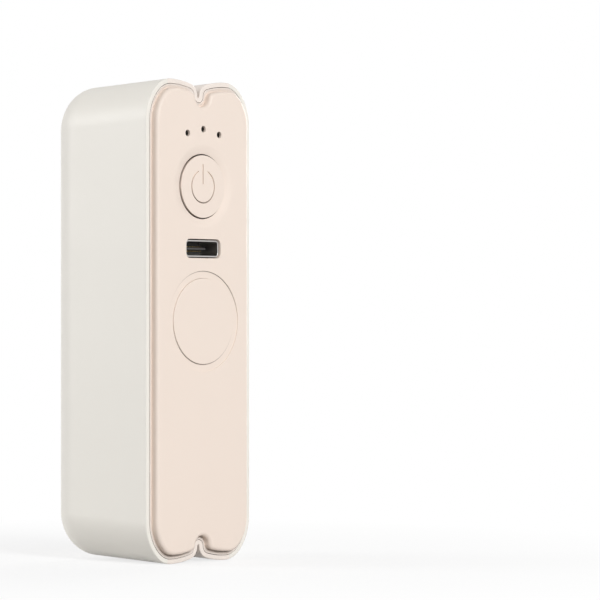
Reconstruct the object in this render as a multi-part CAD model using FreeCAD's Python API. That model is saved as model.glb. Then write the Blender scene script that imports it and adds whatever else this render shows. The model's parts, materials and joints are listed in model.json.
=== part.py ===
import FreeCAD, Part
import math
import os

# Rechargeable pocket hand warmer, one half of a magnetic pair, standing on its lower end.
# X runs across the face, +Y from the face to the back, +Z up, all in millimetres.
# The origin lies on the ground under the middle of the body.

# Outside form: two lobes side by side, swept over the top, down the back and under the foot.
# Top and foot close in on each other towards the back by the taper, given in degrees for each.
body_height = 90.0
body_width = 28.0
body_depth = 27.0
end_taper = 2.25
plateau_rise = 1.25
crest_radius = 5.5
corner_radius = 8.9
corner_join_angle = 47.5
corner_flat = 0.15
slope_radius = 21.5
groove_drop = 3.0
groove_shoulder = 2.4
groove_half_gap = 0.25
ridge_flat_share = 0.6

# Shell of two covers and a centre band, lapped along two seams
wall = 1.5
rim_width = 0.9
rim_edge_bevel = 0.25
seam_from_middle = 8.4
seam_gap = 0.06
lap_length = 1.2
lap_gap = 0.1

# Front panel: a flange in the rim's rebate, a groove and a raised plateau, cored out behind
panel_gap = 0.06
flange_thickness = 1.3
flange_width = 0.75
flange_lip = 0.3
foot_groove_depth = 0.33
plateau_end_trim = 0.18
plateau_edge_radius = 1.0
plateau_shoulder = 1.2
panel_skin = 1.5
pocket_shoulder = 0.6

# Snap hooks on the panel and the catch bars they hold behind
hook_thickness = 1.0
hook_width = 5.0
hook_length = 4.1
hook_barb = 0.4
hook_barb_length = 1.0
catch_depth = 0.5
catch_length = 1.0
catch_gap = 0.12
hook_height_shares = (0.2, 0.5, 0.8)

# Power button, flush with the plateau in a shallow dish
button_from_top = 19.92
button_radius = 5.87
button_sink = 0.05
button_gap = 0.2
button_wall = 1.2
button_edge_radius = 0.25
button_travel = 0.5
button_rest_gap = 0.03
dish_radius = 7.7
dish_depth = 0.33
collar_depth = 2.7
collar_wall = 1.4
button_flange_rim = 1.05
button_flange_thickness = 0.8
guide_post_radius = 0.55
guide_post_gap = 0.2
guide_post_spare = 0.3
stem_radius = 1.8

# Charge lights on an arc above the button, with one smoked guide behind
light_arc_radius = 10.75
light_arc_angle = 23.3
light_hole_radius = 0.62
light_pin_gap = 0.05
light_pin_sink = 0.45
guide_rod_width = 1.8
guide_bar_thickness = 1.2
guide_bar_margin = 1.1
guide_seat_gap = 0.05
light_chip_width = 1.6
light_chip_height = 1.0
light_chip_thickness = 0.7
light_chip_gap = 0.15

# Charging port, an upright receptacle on the board
port_below_button = 11.52
port_width = 8.94
port_height = 3.2
port_corner_radius = 0.8
port_wall = 0.3
port_gap = 0.18
port_sink = 0.35
port_sleeve_wall = 0.9
port_sleeve_depth = 1.2
tongue_width = 6.7
tongue_thickness = 0.75
tongue_sink = 2.2
insulator_depth = 4.2
insulator_gap = 0.03
contact_count = 8
contact_width = 0.3
contact_pitch = 0.72
contact_thickness = 0.08
contact_sink = 0.4
leg_width = 0.9
leg_spare = 0.5
leg_gap = 0.12

# Magnet stack in a cup that opens in the face, under a flush cover disc with a groove round it
magnet_below_port = 13.56
groove_ring_radius = 9.4
groove_ring_depth = 0.3
disc_radius = 8.0
disc_gap = 0.05
disc_thickness = 1.1
magnet_radius = 7.4
magnet_thickness = 3.0
yoke_thickness = 1.0
stack_gap = 0.06
cup_wall = 1.2
cup_floor = 1.0

# Main board behind the panel, on four bosses
board_setback = 9.4
board_thickness = 1.2
board_side_gap = 0.9
board_corner_radius = 2.0
board_top_gap = 1.2
board_boss_inset = 1.8
board_boss_radius = 1.9
boss_below_magnet = 15.5
board_tail = 4.5
screw_radius = 0.7
screw_bite_gap = 0.02
screw_hole_gap = 0.15
screw_head_radius = 1.45
screw_head_height = 0.95
board_screw_bite = 4.0

# Push switch under the button
switch_width = 6.0
switch_body_height = 3.2
switch_height = 4.6
switch_corner_radius = 0.4
plunger_radius = 1.7
plunger_gap = 0.08
plunger_foot_depth = 1.2

# Parts soldered to the back of the board
charger_chip_width = 4.0
charger_chip_thickness = 0.9
controller_chip_width = 5.0
controller_chip_height = 4.4
controller_chip_thickness = 1.2
chip_edge_chamfer = 0.2
coil_width = 5.0
coil_thickness = 2.0
coil_corner_radius = 0.9
coil_drum_radius = 1.9
coil_drum_depth = 0.25
driver_width = 2.9
driver_height = 1.6
driver_thickness = 1.0
driver_inset = 2.5
driver_below = 1.2
capacitor_width = 2.0
capacitor_height = 1.25
capacitor_thickness = 1.1
capacitor_pitch = 3.2
capacitor_count = 4
charger_below_port = 7.5
coil_below_charger = 7.6
controller_above_end = 10.0
capacitor_inset = 3.5

# Battery in its tray, behind the board
cell_standoff = 3.0
cell_gap = 0.2
cell_edge_share = 0.41
cell_end_gap = 0.4
guard_thickness = 1.0
guard_gap = 0.1
pad_thickness = 0.8
pad_margin = 2.0
tray_wall = 0.9
tray_floor = 1.6
tray_wall_setback = 0.8
tray_boss_height = 0.8
tray_boss_radius = 1.9
tray_boss_floor = 0.5
tray_end_gap = 7.0
lead_room = 8.5
tray_screw_end = 13.0
tray_head_sink = 0.1

# Heat plates and heater films that line the covers
plate_gap = 0.05
plate_thickness = 0.8
film_gap = 0.02
film_thickness = 0.22
tray_side_gap = 0.15
plate_setback = 6.3
plate_end_gap = 2.5
plate_back_margin = 1.2
film_margin = 0.9
stop_thickness = 0.8
stop_height = 0.9
stop_gap = 0.1

# Wires, with a many-sided section that keeps them light
wire_sides = 8
battery_lead_radius = 0.6
battery_lead_x = 2.4
battery_lead_bend = 1.3
battery_lead_straight = 0.5
heater_lead_radius = 0.45
heater_lead_pitch = 3.0
heater_lead_below = 3.5
heater_lead_bend = 1.2
heater_lead_straight = 0.6
heater_pad_inset = 1.7
sensor_lead_radius = 0.25
sensor_lead_pitch = 1.1
sensor_bead_radius = 0.75
sensor_bead_length = 2.6
sensor_above_magnet = 7.0

# One overrun serves all cuts, and one tolerance finds edges in a plane
overrun = 1.0
touch = 0.001
full_turn = 360.0
quarter_turn = 90.0
quarter = math.radians(quarter_turn)
V = FreeCAD.Vector

# Depths, from the face to the back
face_y = -(body_depth + plateau_rise) / 2
rim_y = face_y + plateau_rise
back_y = rim_y + body_depth
foot_groove_y = rim_y + foot_groove_depth
flange_back_y = rim_y + flange_thickness
pocket_y = face_y + panel_skin
collar_y = face_y + collar_depth
board_y = face_y + board_setback
board_back_y = board_y + board_thickness

# Outline of a lobe, from its flat side to the groove
half_width = body_width / 2
middle_z = body_height / 2
corner_join = math.radians(corner_join_angle)
crest_inset = corner_radius - (corner_radius - crest_radius) * math.cos(corner_join)
corner_drop = crest_radius + (corner_radius - crest_radius) * math.sin(corner_join)
crest_x = half_width - crest_inset

# Path of the sweep: a tapered run from the rim, a turn round the back and a straight run down
taper = math.radians(end_taper)
turn_radius = corner_drop + corner_flat
turn_y = back_y - turn_radius
run_length = (turn_y - rim_y + turn_radius * math.sin(taper)) / math.cos(taper)
turn_z = body_height - run_length * math.sin(taper) - turn_radius * math.cos(taper)
keel_drop = groove_drop + groove_half_gap + wall

# Insets from the outside of the body
panel_inset = rim_width + panel_gap
foot_groove_inset = panel_inset + flange_lip
plateau_inset = panel_inset + flange_width
pocket_inset = plateau_inset + panel_skin
plate_inset = wall + plate_gap
film_inset = plate_inset + plate_thickness + film_gap
tray_inset = film_inset + film_thickness + tray_side_gap
lining_face_x = half_width - film_inset - film_thickness
board_half_width = lining_face_x - board_side_gap
board_boss_x = board_half_width - board_boss_inset
heater_pad_x = board_half_width - heater_pad_inset
driver_x = board_half_width - driver_inset
capacitor_x = board_half_width - capacitor_inset

# Heights of the face's features
button_z = body_height - button_from_top
port_z = button_z - port_below_button
magnet_z = port_z - magnet_below_port
light_reach = light_arc_radius * math.cos(math.radians(light_arc_angle))
light_x = light_arc_radius * math.sin(math.radians(light_arc_angle))
light_places = (
    (-light_x, button_z + light_reach),
    (0, button_z + light_arc_radius),
    (light_x, button_z + light_reach),
)
boss_low_z = magnet_z - boss_below_magnet
boss_high_z = (button_z + port_z) / 2
boss_places = [(x, z) for x in (-board_boss_x, board_boss_x) for z in (boss_low_z, boss_high_z)]
hook_places = [body_height * share for share in hook_height_shares]
charger_z = port_z - charger_below_port
coil_z = charger_z - coil_below_charger
board_low_z = boss_low_z - board_tail
controller_z = board_low_z + controller_above_end
driver_z = controller_z - driver_below

# Depths of the magnet stack and the port
disc_end_y = face_y + disc_thickness
magnet_y = disc_end_y + stack_gap
magnet_end_y = magnet_y + magnet_thickness
yoke_y = magnet_end_y + stack_gap
yoke_end_y = yoke_y + yoke_thickness
port_y = face_y + port_sink
tongue_y = port_y + tongue_sink
insulator_y = board_y - insulator_depth

# Depths and heights of the battery tray
keel_y = back_y - keel_drop
tray_back_y = keel_y - tray_boss_height
tray_floor_y = tray_back_y - tray_floor
tray_seat_y = tray_floor_y + screw_head_height + tray_head_sink
tray_pilot_y = keel_y + wall - tray_boss_floor
cell_back_y = tray_floor_y - pad_thickness
cell_front_y = board_back_y + cell_standoff
cell_middle_y = (cell_front_y + cell_back_y) / 2
cell_edge_radius = cell_edge_share * (cell_back_y - cell_front_y)
tray_corner_radius = cell_edge_radius + tray_wall
tray_front_y = cell_front_y + tray_wall_setback
tray_half_width = half_width - tray_inset
tray_low_z = keel_drop + tray_end_gap
tray_high_z = body_height - keel_drop - lead_room
cell_half_width = tray_half_width - tray_wall - cell_gap
cell_low_z = tray_low_z + tray_wall + cell_end_gap
guard_high_z = tray_high_z - tray_wall - cell_end_gap - 2 * battery_lead_radius
cell_high_z = guard_high_z - guard_thickness - guard_gap
tray_screw_places = (tray_low_z + tray_screw_end, tray_high_z - tray_screw_end)
plate_low_z = body_height - turn_z + plate_end_gap
plate_high_z = turn_z - plate_end_gap
side_lead_y = board_back_y + heater_lead_bend + heater_lead_straight


def box(low, high):
    size = [b - a for a, b in zip(low, high)]
    return Part.makeBox(*size, V(*low))


def peg(x, z, radius, start_y, end_y):
    """Round bar along the depth."""
    return Part.makeCylinder(radius, end_y - start_y, V(x, start_y, z), V(0, 1, 0))


def moved(shape, x=0, y=0, z=0):
    copy = shape.copy()
    copy.translate(V(x, y, z))
    return copy


def mirror_x(shape):
    return shape.mirror(V(0, 0, 0), V(1, 0, 0))


def mirror_z(shape):
    return shape.mirror(V(0, 0, middle_z), V(0, 0, 1))


def turned(profile, x, z):
    """Solid of revolution about a line along the depth; profile points are (radius, y)."""
    points = [V(x + radius, y, z) for radius, y in profile]
    face = Part.Face(Part.makePolygon(points + points[:1]))
    return face.revolve(V(x, 0, z), V(0, 1, 0), full_turn)


def slab(width, height, radius, x, z, start_y, end_y):
    """Plate with rounded corners, lying across the depth."""
    block = box((x - width / 2, start_y, z - height / 2), (x + width / 2, end_y, z + height / 2))
    deep = [edge for edge in block.Edges if edge.Vertexes[0].Y != edge.Vertexes[-1].Y]
    return block.makeFillet(radius, deep)


def edges_at(shape, y):
    """Edges that lie in one plane across the depth."""
    return [edge for edge in shape.Edges if all(abs(v.Y - y) < touch for v in edge.Vertexes)]


def arc(centre_x, centre_z, radius, start, end):
    angles = (start, (start + end) / 2, end)
    points = [V(centre_x + radius * math.cos(a), 0, centre_z + radius * math.sin(a)) for a in angles]
    return Part.Arc(*points).toShape()


def line(start, end):
    return Part.makeLine(V(start[0], 0, start[1]), V(end[0], 0, end[1]))


def closed_face(edges):
    return Part.Face(Part.Wire(Part.sortEdges(edges)[0]))


def lobe_edges(inset, shoulder, hidden):
    """Both upper lobes, inset from the outside, as arcs from each flat side to the groove's foot.

    The shoulder arc touches the lobe's slope from inside and the groove's foot from outside.
    On hidden surfaces a ridge of three flats stands in for these two arcs.
    """
    foot_z = body_height - groove_drop
    slope_z = body_height - slope_radius
    foot_radius = groove_half_gap + inset
    from_slope = slope_radius - inset - shoulder
    from_foot = foot_radius + shoulder
    apart = math.hypot(crest_x, foot_z - slope_z)
    along = (from_foot ** 2 - from_slope ** 2 + apart ** 2) / (2 * apart)
    aside = math.sqrt(from_foot ** 2 - along ** 2)
    toward_x, toward_z = crest_x / apart, (slope_z - foot_z) / apart
    shoulder_x = along * toward_x - aside * toward_z
    shoulder_z = foot_z + along * toward_z + aside * toward_x
    meet = math.atan2(shoulder_z - slope_z, shoulder_x - crest_x)
    part = math.atan2(shoulder_z - foot_z, shoulder_x)
    corner_z = body_height - corner_drop
    right = [
        arc(half_width - corner_radius, corner_z, corner_radius - inset, 0, corner_join),
        arc(crest_x, body_height - crest_radius, crest_radius - inset, corner_join, quarter),
        arc(crest_x, slope_z, slope_radius - inset, quarter, meet),
    ]
    if hidden:
        ridge_x = ridge_flat_share * foot_radius
        ridge_z = foot_z - foot_radius
        slope_end = right[-1].Vertexes[-1].Point
        right.append(line((slope_end.x, slope_end.z), (ridge_x, ridge_z)))
        foot = line((ridge_x, ridge_z), (-ridge_x, ridge_z))
    else:
        right.append(arc(shoulder_x, shoulder_z, shoulder, meet, part + math.pi))
        foot = arc(0, foot_z, foot_radius, part, -math.pi - part)
    return right + [foot] + [mirror_x(edge) for edge in right]


def front_outline(inset, shoulder, hidden, end_trim):
    """Face bounded by the body's front outline, inset from the outside and drawn in at both ends."""
    upper = [moved(edge, z=-end_trim) for edge in lobe_edges(inset, shoulder, hidden)]
    side_x = half_width - inset
    low_z = corner_drop + end_trim
    sides = [line((x, body_height - low_z), (x, low_z)) for x in (-side_x, side_x)]
    return closed_face(upper + [mirror_z(edge) for edge in upper] + sides)


def front_plate(inset, shoulder, start_y, end_y, hidden=False, end_trim=0):
    face = front_outline(inset, shoulder, hidden, end_trim)
    return moved(face, y=start_y).extrude(V(0, end_y - start_y, 0))


def exact_shoulder(inset):
    return groove_shoulder - inset


def side_space(start_x, end_x, front_y):
    """Upright slice of space between two distances from the middle."""
    return box((start_x, front_y, -overrun), (end_x, back_y + overrun, body_height + overrun))


def swept_body(inset, front_y, hidden=False):
    """Lobed body carried over the top, round the back and under the foot, inset from the outside."""
    side_x = half_width - inset
    corner_z = body_height - corner_drop
    axis_z = body_height - turn_radius
    section = closed_face(lobe_edges(inset, exact_shoulder(inset), hidden) + [
        line((side_x, corner_z), (side_x, axis_z)),
        line((side_x, axis_z), (-side_x, axis_z)),
        line((-side_x, axis_z), (-side_x, corner_z)),
    ])
    before_y = rim_y - 2 * overrun
    after_y = rim_y + run_length
    run = moved(section, y=before_y).extrude(V(0, after_y - before_y, 0))
    turn_face = moved(section, y=after_y)
    axis_point = V(0, after_y, axis_z)
    axis = V(-1, 0, 0)
    turn = turn_face.revolve(axis_point, axis, quarter_turn - end_taper)
    back_face = turn_face.copy()
    back_face.rotate(axis_point, axis, quarter_turn - end_taper)
    for shape in (run, turn, back_face):
        shape.rotate(V(0, rim_y, body_height), axis, end_taper)
    back = back_face.extrude(V(0, 0, body_height - 2 * turn_z))
    before_z = turn_z + (turn_y - before_y) * math.tan(taper)
    corners = [(before_y, before_z), (turn_y, turn_z)]
    corners += [(y, body_height - z) for y, z in reversed(corners)]
    points = [V(-side_x, y, z) for y, z in corners]
    core = Part.Face(Part.makePolygon(points + points[:1])).extrude(V(2 * side_x, 0, 0))
    body = core.fuse([run, turn, back, mirror_z(run), mirror_z(turn)]).removeSplitter()
    return body.common(side_space(-half_width - overrun, half_width + overrun, front_y))


def body_cavity():
    return swept_body(wall, rim_y - overrun, True)


def lap_body(inset):
    """Part of the body that lies inside a surface within the wall, behind the panel's flange."""
    return swept_body(inset, flange_back_y, True)


def body_shell():
    """Hollow body with a rebate for the panel and a bevelled outer rim."""
    outside = swept_body(0, rim_y)
    outside = outside.makeChamfer(rim_edge_bevel, edges_at(outside, rim_y))
    rebate = front_plate(rim_width, exact_shoulder(rim_width), rim_y - overrun, flange_back_y)
    return outside.cut(body_cavity()).cut(rebate)


def right_cover(shell):
    """Cover with catch bars for the panel's hooks and stops at the ends of the heat plate."""
    seam_x = seam_from_middle + seam_gap
    lap = lap_body((wall - lap_gap) / 2)
    lap = lap.common(side_space(seam_from_middle, seam_from_middle + lap_length + lap_gap, rim_y))
    cover = shell.common(side_space(seam_x, half_width + overrun, rim_y - overrun)).cut(lap)
    inside_x = half_width - wall
    catch_y = flange_back_y + hook_length - hook_barb_length - catch_gap
    for z in hook_places:
        low = (inside_x - catch_depth, catch_y - catch_length, z - hook_width / 2)
        cover = cover.fuse(box(low, (half_width - wall / 2, catch_y, z + hook_width / 2)))
    for z in (plate_low_z - stop_gap - stop_thickness, plate_high_z + stop_gap):
        low = (inside_x - stop_height, rim_y + plate_setback, z)
        cover = cover.fuse(box(low, (half_width - wall / 2, turn_y, z + stop_thickness)))
    return cover.removeSplitter()


def centre_band(shell):
    """Grooved band between the covers, with lapped edges and the tray's two bosses."""
    band = shell.common(side_space(-seam_from_middle, seam_from_middle, rim_y - overrun))
    tongue_x = seam_from_middle + lap_length
    tongues = lap_body((wall + lap_gap) / 2).cut(body_cavity())
    band = band.fuse(tongues.common(side_space(-tongue_x, tongue_x, rim_y)))
    for z in tray_screw_places:
        band = band.fuse(peg(0, z, tray_boss_radius, tray_back_y, keel_y + wall / 2))
    pilots = [peg(0, z, screw_radius, tray_back_y - overrun, tray_pilot_y) for z in tray_screw_places]
    return band.cut(pilots).removeSplitter()


def snap_hook(z):
    """Springy arm behind the panel's right edge, with a barb that faces outward."""
    bar_x = half_width - wall - catch_depth - catch_gap
    tip_y = flange_back_y + hook_length
    barb_y = tip_y - hook_barb_length
    profile = [
        V(bar_x - hook_thickness, flange_back_y - flange_thickness / 2, z - hook_width / 2),
        V(bar_x, flange_back_y - flange_thickness / 2, z - hook_width / 2),
        V(bar_x, barb_y, z - hook_width / 2),
        V(bar_x + hook_barb, barb_y, z - hook_width / 2),
        V(bar_x, tip_y, z - hook_width / 2),
        V(bar_x - hook_thickness, tip_y, z - hook_width / 2),
    ]
    face = Part.Face(Part.makePolygon(profile + profile[:1]))
    return face.extrude(V(0, 0, hook_width))


def guide_posts(radius, start_y, end_y):
    reach = button_radius + button_gap + collar_wall / 2
    return [peg(x, button_z, radius, start_y, end_y) for x in (-reach, reach)]


def panel_blank():
    """Flange and plateau as one plate, with a groove at the plateau's foot and the back cored out."""
    flange = front_plate(panel_inset, exact_shoulder(panel_inset), rim_y, flange_back_y)
    groove_shoulder_radius = exact_shoulder(foot_groove_inset)
    groove = front_plate(foot_groove_inset, groove_shoulder_radius, rim_y - overrun, foot_groove_y)
    plateau = front_plate(plateau_inset, plateau_shoulder, face_y, flange_back_y, end_trim=plateau_end_trim)
    raised = plateau.makeFillet(plateau_edge_radius, edges_at(plateau, face_y))
    blank = flange.cut(groove).fuse(raised)
    behind_y = flange_back_y + overrun
    pocket = front_plate(pocket_inset, pocket_shoulder, pocket_y, behind_y, True, plateau_end_trim)
    return blank.cut(pocket).removeSplitter()


def port_slab(growth, start_y, end_y):
    """Outline of the port's shell, grown all round, as a plate across the depth."""
    width = port_width + 2 * growth
    height = port_height + 2 * growth
    return slab(width, height, port_corner_radius + growth, 0, port_z, start_y, end_y)


def front_panel():
    """Face panel with the button's collar, the magnet's cup, board bosses and snap hooks."""
    panel = panel_blank()
    bore = button_radius + button_gap
    cup_bore = magnet_radius + stack_gap
    cup_end = yoke_end_y + stack_gap + cup_floor
    skin_y = pocket_y - panel_skin / 2
    sleeve_y = pocket_y + port_sleeve_depth
    added = [
        peg(0, button_z, bore + collar_wall, skin_y, collar_y),
        peg(0, magnet_z, disc_radius + disc_gap + cup_wall, skin_y, disc_end_y + cup_wall),
        peg(0, magnet_z, cup_bore + cup_wall, skin_y, cup_end),
        port_slab(port_gap + port_sleeve_wall, skin_y, sleeve_y),
    ]
    added += [peg(x, z, board_boss_radius, skin_y, board_y) for x, z in boss_places]
    post_end = collar_y + button_flange_thickness + button_travel + guide_post_spare
    added += guide_posts(guide_post_radius, skin_y, post_end)
    hooks = [snap_hook(z) for z in hook_places]
    panel = panel.fuse(added + hooks + [mirror_x(hook) for hook in hooks])
    front_y = face_y - overrun
    dish_y = face_y + dish_depth
    dish = [(0, front_y), (dish_radius, front_y), (dish_radius, face_y), (bore, dish_y), (0, dish_y)]
    cuts = [
        turned(dish, 0, button_z),
        peg(0, button_z, bore, front_y, collar_y + overrun),
        peg(0, magnet_z, groove_ring_radius, front_y, face_y + groove_ring_depth),
        peg(0, magnet_z, disc_radius + disc_gap, front_y, disc_end_y),
        peg(0, magnet_z, cup_bore, front_y, yoke_end_y + stack_gap),
        port_slab(port_gap, front_y, sleeve_y + overrun),
    ]
    cuts += [peg(x, z, light_hole_radius, front_y, pocket_y + overrun) for x, z in light_places]
    cuts += [peg(x, z, screw_radius, board_y - board_screw_bite, board_y + overrun) for x, z in boss_places]
    return panel.cut(cuts).removeSplitter()


def power_button():
    """Hollow cap with a retaining flange behind the collar and a stem that meets the switch."""
    top_y = face_y + button_sink
    flange_y = collar_y + button_rest_gap
    flange_end = flange_y + button_flange_thickness
    stem_end = board_y - switch_height - button_rest_gap
    inner = button_radius - button_wall
    soft = button_radius - button_edge_radius
    cap = turned([
        (0, top_y), (soft, top_y), (button_radius, top_y + button_edge_radius), (button_radius, flange_y),
        (button_radius + button_flange_rim, flange_y), (button_radius + button_flange_rim, flange_end),
        (inner, flange_end), (inner, top_y + button_wall), (stem_radius, top_y + button_wall),
        (stem_radius, stem_end), (0, stem_end),
    ], 0, button_z)
    notch_radius = guide_post_radius + guide_post_gap
    return cap.cut(guide_posts(notch_radius, collar_y, flange_end + overrun))


def magnet_cover():
    return peg(0, magnet_z, disc_radius, face_y, disc_end_y)


def magnet():
    return peg(0, magnet_z, magnet_radius, magnet_y, magnet_end_y)


def magnet_yoke():
    return peg(0, magnet_z, magnet_radius, yoke_y, yoke_end_y)


def light_guide():
    """Smoked moulding: a bar with a round pin and a square rod for each light."""
    bar_y = pocket_y + guide_seat_gap
    rod_end = board_y - light_chip_thickness - light_chip_gap
    low_z = min(z for x, z in light_places) - guide_bar_margin
    high_z = max(z for x, z in light_places) + guide_bar_margin
    side_x = light_x + guide_bar_margin
    guide = box((-side_x, bar_y, low_z), (side_x, bar_y + guide_bar_thickness, high_z))
    reach = guide_rod_width / 2
    rods = [box((x - reach, bar_y, z - reach), (x + reach, rod_end, z + reach)) for x, z in light_places]
    pin_radius = light_hole_radius - light_pin_gap
    pins = [peg(x, z, pin_radius, face_y + light_pin_sink, bar_y) for x, z in light_places]
    return guide.fuse(rods + pins).removeSplitter()


def light_chips():
    chips = []
    for x, z in light_places:
        low = (x - light_chip_width / 2, board_y - light_chip_thickness, z - light_chip_height / 2)
        chips.append(box(low, (x + light_chip_width / 2, board_y, z + light_chip_height / 2)))
    return Part.makeCompound(chips)


def leg_boxes(gap):
    """Four solder legs of the port's shell, or their slots in the board when given a gap."""
    leg_x = port_width / 2 - port_corner_radius - leg_width / 2
    leg_z = (port_height - port_wall) / 2
    legs = []
    for x in (-leg_x, leg_x):
        for z in (port_z - leg_z, port_z + leg_z):
            low = (x - leg_width / 2 - gap, board_y - gap, z - port_wall / 2 - gap)
            high = (x + leg_width / 2 + gap, board_back_y + leg_spare + gap, z + port_wall / 2 + gap)
            legs.append(box(low, high))
    return legs


def port_shell():
    """Drawn steel shell, open at the face, with four legs through the board."""
    tube = port_slab(0, port_y, board_y).cut(port_slab(-port_wall, port_y - overrun, board_y + overrun))
    return tube.fuse(leg_boxes(0)).removeSplitter()


def port_insulator():
    """Moulded block in the back of the shell, with the tongue that carries the contacts."""
    block = port_slab(-port_wall - insulator_gap, insulator_y, board_y)
    low = (-tongue_width / 2, tongue_y, port_z - tongue_thickness / 2)
    tongue = box(low, (tongue_width / 2, board_y, port_z + tongue_thickness / 2))
    return block.fuse(tongue).removeSplitter()


def port_contacts():
    """Spring-gold strips on both sides of the tongue."""
    strips = []
    first_x = -contact_pitch * (contact_count - 1) / 2
    for place in range(contact_count):
        x = first_x + place * contact_pitch
        for side in (-1, 1):
            near_z = port_z + side * tongue_thickness / 2
            far_z = near_z + side * contact_thickness
            low = (x - contact_width / 2, tongue_y + contact_sink, min(near_z, far_z))
            strips.append(box(low, (x + contact_width / 2, insulator_y, max(near_z, far_z))))
    return Part.makeCompound(strips)


def main_board():
    high_z = body_height - keel_drop - board_top_gap
    height = high_z - board_low_z
    middle = (high_z + board_low_z) / 2
    board = slab(2 * board_half_width, height, board_corner_radius, 0, middle, board_y, board_back_y)
    holes = [peg(x, z, screw_radius + screw_hole_gap, board_y - overrun, board_back_y + overrun)
             for x, z in boss_places]
    return board.cut(holes + leg_boxes(leg_gap))


def screw(x, z, seat_y, bite):
    """Flat-headed screw driven towards the face; the seat is under its head."""
    shank = peg(x, z, screw_radius - screw_bite_gap, seat_y - bite, seat_y)
    head = peg(x, z, screw_head_radius, seat_y, seat_y + screw_head_height)
    return shank.fuse(head)


def board_screws():
    bite = board_thickness + board_screw_bite - screw_radius
    return Part.makeCompound([screw(x, z, board_back_y, bite) for x, z in boss_places])


def tray_screws():
    """Screws from inside the tray into the band's bosses; they face the other way."""
    bite = tray_pilot_y - tray_seat_y - screw_radius
    screws = []
    for z in tray_screw_places:
        piece = screw(0, z, tray_seat_y, bite)
        piece.rotate(V(0, tray_seat_y, z), V(0, 0, 1), full_turn / 2)
        screws.append(piece)
    return Part.makeCompound(screws)


def switch_body():
    """Square push switch with a well for its plunger."""
    top_y = board_y - switch_body_height
    body = slab(switch_width, switch_width, switch_corner_radius, 0, button_z, top_y, board_y)
    well_end = top_y + plunger_foot_depth + button_travel + plunger_gap
    well = peg(0, button_z, plunger_radius + plunger_gap, top_y - overrun, well_end)
    return body.cut(well)


def switch_plunger():
    tip_y = board_y - switch_height
    return peg(0, button_z, plunger_radius, tip_y, board_y - switch_body_height + plunger_foot_depth)


def chip(width, height, thickness, x, z):
    """Moulded package on the back of the board, with its upper edges broken."""
    low = (x - width / 2, board_back_y, z - height / 2)
    top_y = board_back_y + thickness
    body = box(low, (x + width / 2, top_y, z + height / 2))
    return body.makeChamfer(chip_edge_chamfer, edges_at(body, top_y))


def charger_chip():
    return chip(charger_chip_width, charger_chip_width, charger_chip_thickness, 0, charger_z)


def power_coil():
    """Shielded coil: a rounded ferrite block with a shallow round window over the winding."""
    end_y = board_back_y + coil_thickness
    block = slab(coil_width, coil_width, coil_corner_radius, 0, coil_z, board_back_y, end_y)
    return block.cut(peg(0, coil_z, coil_drum_radius, end_y - coil_drum_depth, end_y + overrun))


def controller_chip():
    width = controller_chip_width
    return chip(width, controller_chip_height, controller_chip_thickness, 0, controller_z)


def heater_drivers():
    places = (-driver_x, driver_x)
    chips = [chip(driver_width, driver_height, driver_thickness, x, driver_z) for x in places]
    return Part.makeCompound(chips)


def capacitors():
    """Row of ceramic blocks up one side of the coil."""
    first_z = coil_z - capacitor_pitch * (capacitor_count - 1) / 2
    places = [first_z + place * capacitor_pitch for place in range(capacitor_count)]
    return Part.makeCompound([
        chip(capacitor_width, capacitor_height, capacitor_thickness, capacitor_x, z) for z in places])


def upright_block(half_x, front, back, low_z, high_z, radius, edges_at_back_only):
    """Block with its upright edges rounded, all four or only the two at the back."""
    block = box((-half_x, front, low_z), (half_x, back, high_z))
    middle_y = (front + back) / 2
    upright = [e for e in block.Edges if e.Vertexes[0].Z != e.Vertexes[-1].Z]
    chosen = [e for e in upright if e.Vertexes[0].Y > middle_y or not edges_at_back_only]
    return block.makeFillet(radius, chosen)


def battery_tray():
    """Open-fronted tray, rounded at the back, with sunk seats for its two screws."""
    outside = upright_block(
        tray_half_width, tray_front_y, tray_back_y, tray_low_z, tray_high_z, tray_corner_radius, True)
    inside = upright_block(
        tray_half_width - tray_wall, tray_front_y - overrun, tray_floor_y,
        tray_low_z + tray_wall, tray_high_z - tray_wall, cell_edge_radius, True)
    seat_radius = screw_head_radius + screw_hole_gap
    hole_radius = screw_radius + screw_hole_gap
    seats = [peg(0, z, seat_radius, tray_floor_y - overrun, tray_seat_y) for z in tray_screw_places]
    holes = [peg(0, z, hole_radius, tray_floor_y, tray_back_y + overrun) for z in tray_screw_places]
    return outside.cut([inside] + seats + holes)


def pouch_cell():
    return upright_block(cell_half_width, cell_front_y, cell_back_y, cell_low_z, cell_high_z,
                         cell_edge_radius, False)


def cell_guard():
    """Protection board across the cell's upper end."""
    half_x = cell_half_width - cell_edge_radius
    low = (-half_x, cell_front_y, cell_high_z + guard_gap)
    return box(low, (half_x, cell_back_y, guard_high_z))


def cell_pad():
    """Adhesive foam between the cell and the tray's floor."""
    half_x = cell_half_width - cell_edge_radius
    low = (-half_x, cell_back_y, cell_low_z + pad_margin)
    return box(low, (half_x, tray_floor_y, cell_high_z - pad_margin))


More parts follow.
